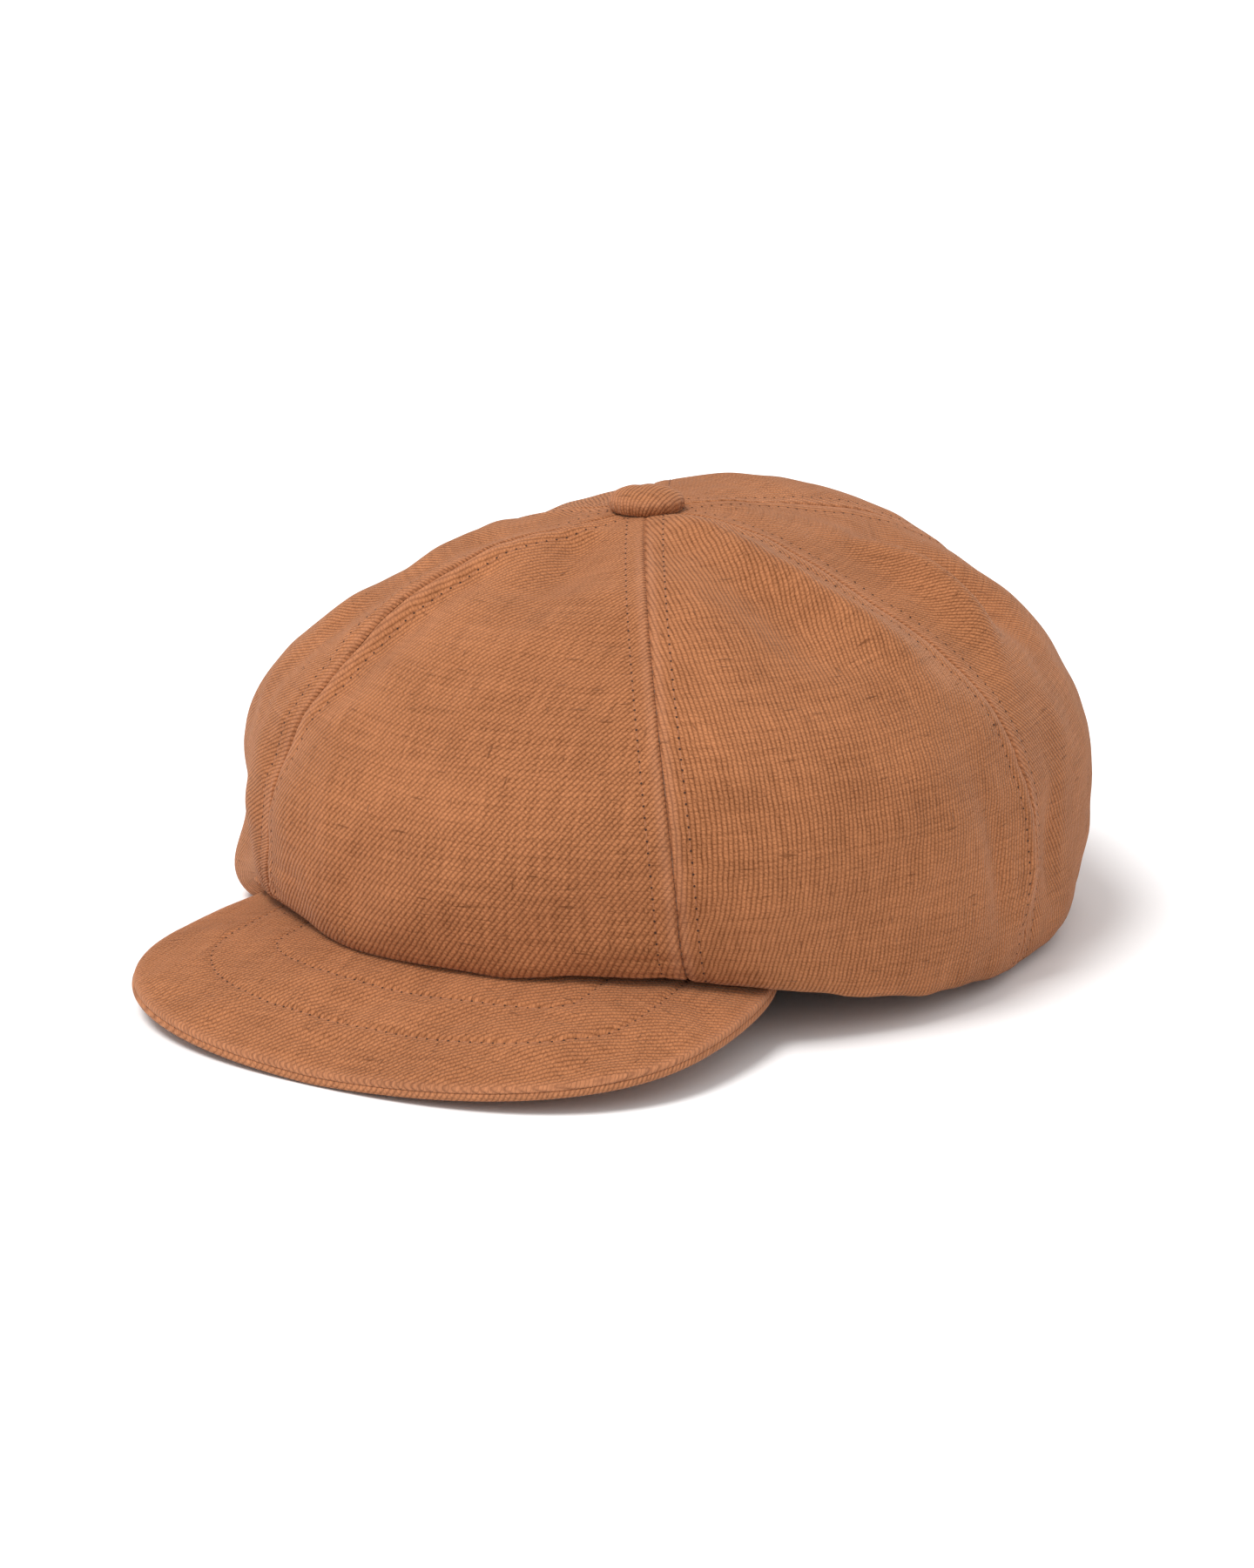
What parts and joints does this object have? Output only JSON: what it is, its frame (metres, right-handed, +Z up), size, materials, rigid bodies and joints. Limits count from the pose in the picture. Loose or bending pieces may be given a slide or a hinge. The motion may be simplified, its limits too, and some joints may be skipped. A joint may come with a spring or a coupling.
{
  "type": "newsboy cap",
  "caption": "Soft six-panel cap with a full crown, taped and topstitched seams, a covered top button and a short stiffened brim.",
  "frame": {"origin": "on the surface the cap stands on, under the middle of its bounding box", "axes": "+Z up, the brim points to -Y, the wearer's left is +X"},
  "size_m": [0.2494, 0.3302, 0.1374],
  "materials": {
    "twill": "camel linen-cotton twill, matt with a soft nap",
    "seam_tape": "dark navy cotton bias tape",
    "sweatband": "dark navy cotton band",
    "buckram": "stiffened undyed cotton",
    "brim_board": "semi-rigid polyethylene board",
    "button_metal": "plain stamped steel",
    "thread": "camel polyester-cotton sewing thread"
  },
  "bodies": {
    "root": {"crown_panel_front": "twill", "crown_panel_left_front": "twill", "crown_panel_left_back": "twill", "crown_panel_back": "twill", "crown_panel_right_back": "twill", "crown_panel_right_front": "twill", "seam_tape_front_left": "seam_tape", "seam_tape_left": "seam_tape", "seam_tape_back_left": "seam_tape", "seam_tape_back_right": "seam_tape", "seam_tape_right": "seam_tape", "seam_tape_front_right": "seam_tape", "headband_cloth": "twill", "headband_stiffener": "buckram", "sweatband": "sweatband", "brim_upper_cloth": "twill", "brim_board": "brim_board", "brim_lower_cloth": "twill", "button_cover": "twill", "button_shell": "button_metal", "button_back_plate": "button_metal", "button_shank": "button_metal", "top_stay_disc": "buckram", "shank_tie": "thread"}
  },
  "joints": []
}
